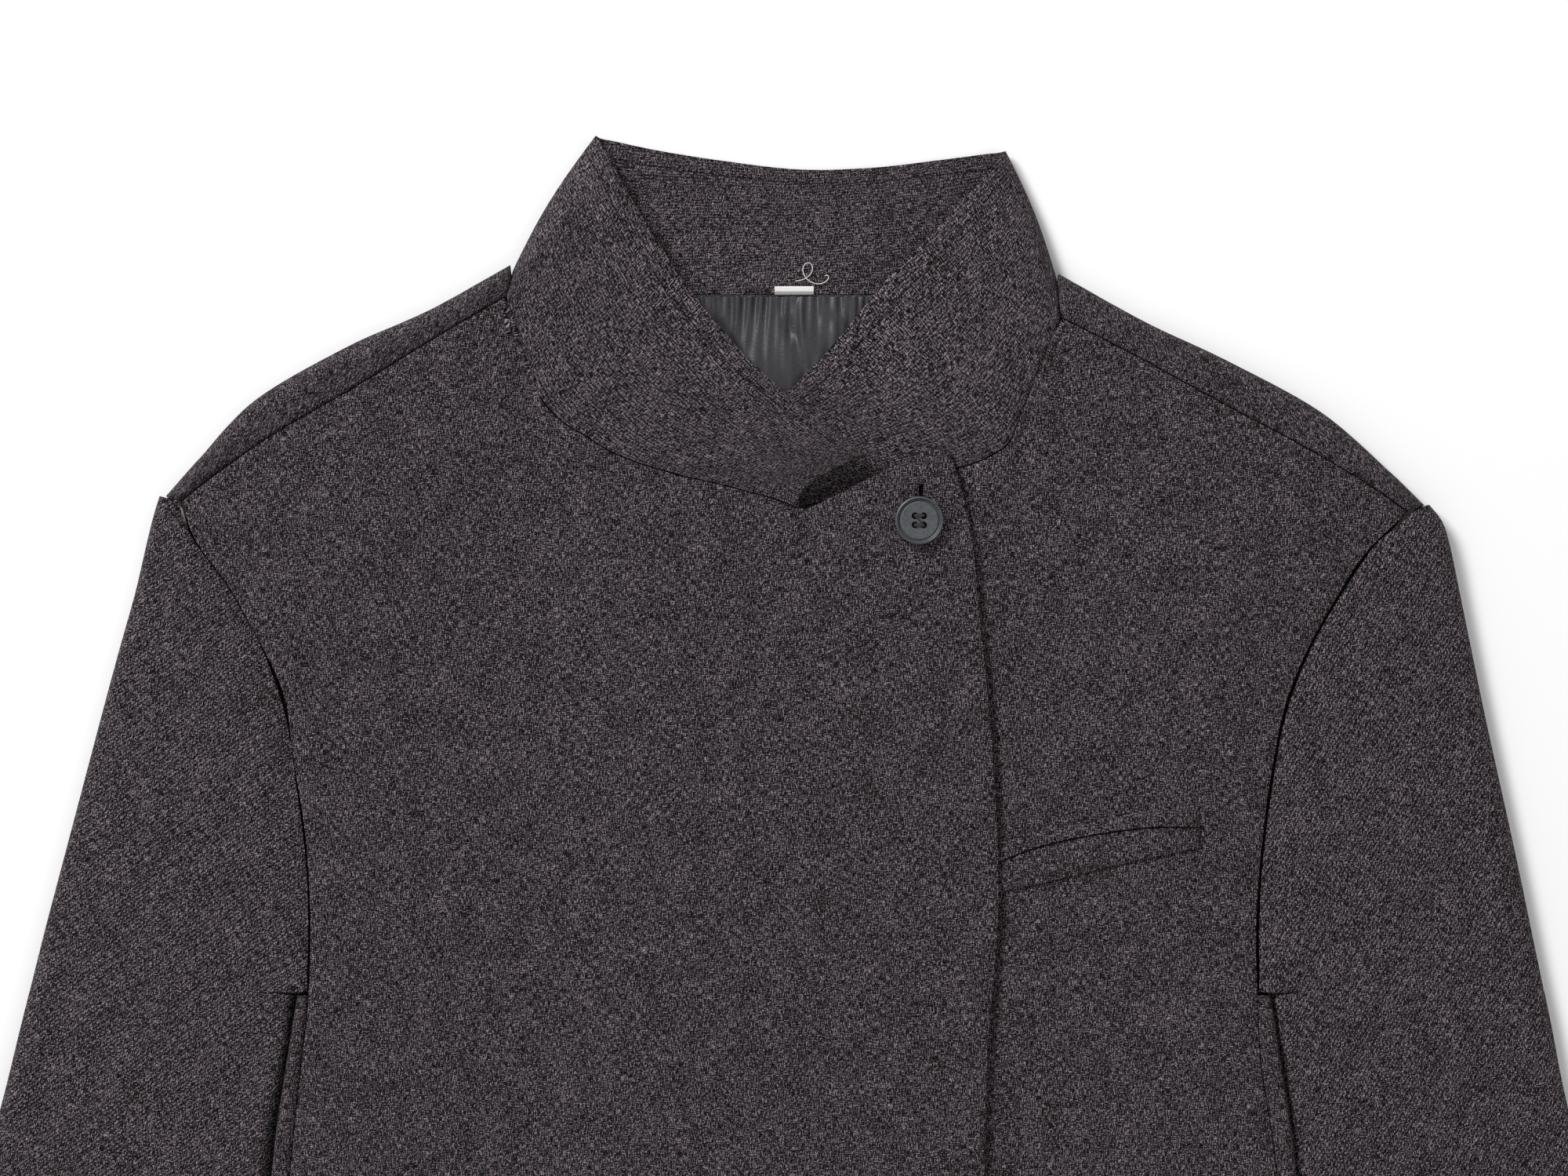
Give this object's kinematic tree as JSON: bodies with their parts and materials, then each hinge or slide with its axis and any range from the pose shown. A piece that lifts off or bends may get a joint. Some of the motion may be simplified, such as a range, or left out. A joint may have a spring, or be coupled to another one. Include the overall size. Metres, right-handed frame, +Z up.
{
  "type": "mao jacket",
  "caption": "Wool mao jacket laid flat, with a stand collar, set-in sleeves, a wrap-over front held by one button, and a slanted welt pocket on the chest.",
  "frame": {"origin": "centre of the bounding box at its base, on the surface that the jacket lies on", "axes": "+Z up out of the surface, +Y from hem to collar, +X towards the wearer's left side; the front side is up"},
  "size_m": [0.7434, 0.7717, 0.0178],
  "materials": {
    "wool": "dark charcoal melange wool twill, matt with light flecks",
    "lining": "grey satin with a soft sheen",
    "label": "bare white woven tape",
    "button": "slate grey, half matt",
    "thread": "dark sewing thread"
  },
  "bodies": {
    "root": {"front_right": "wool", "front_left": "wool", "back": "wool", "side_panel_right": "wool", "side_panel_left": "wool", "sleeve_right_top": "wool", "sleeve_right_under": "wool", "sleeve_left_top": "wool", "sleeve_left_under": "wool", "collar": "wool", "lining_back_neck": "lining", "neck_label": "label", "pocket_jet_upper": "wool", "pocket_welt_lower": "wool", "button": "button", "button_thread": "thread"}
  },
  "joints": []
}
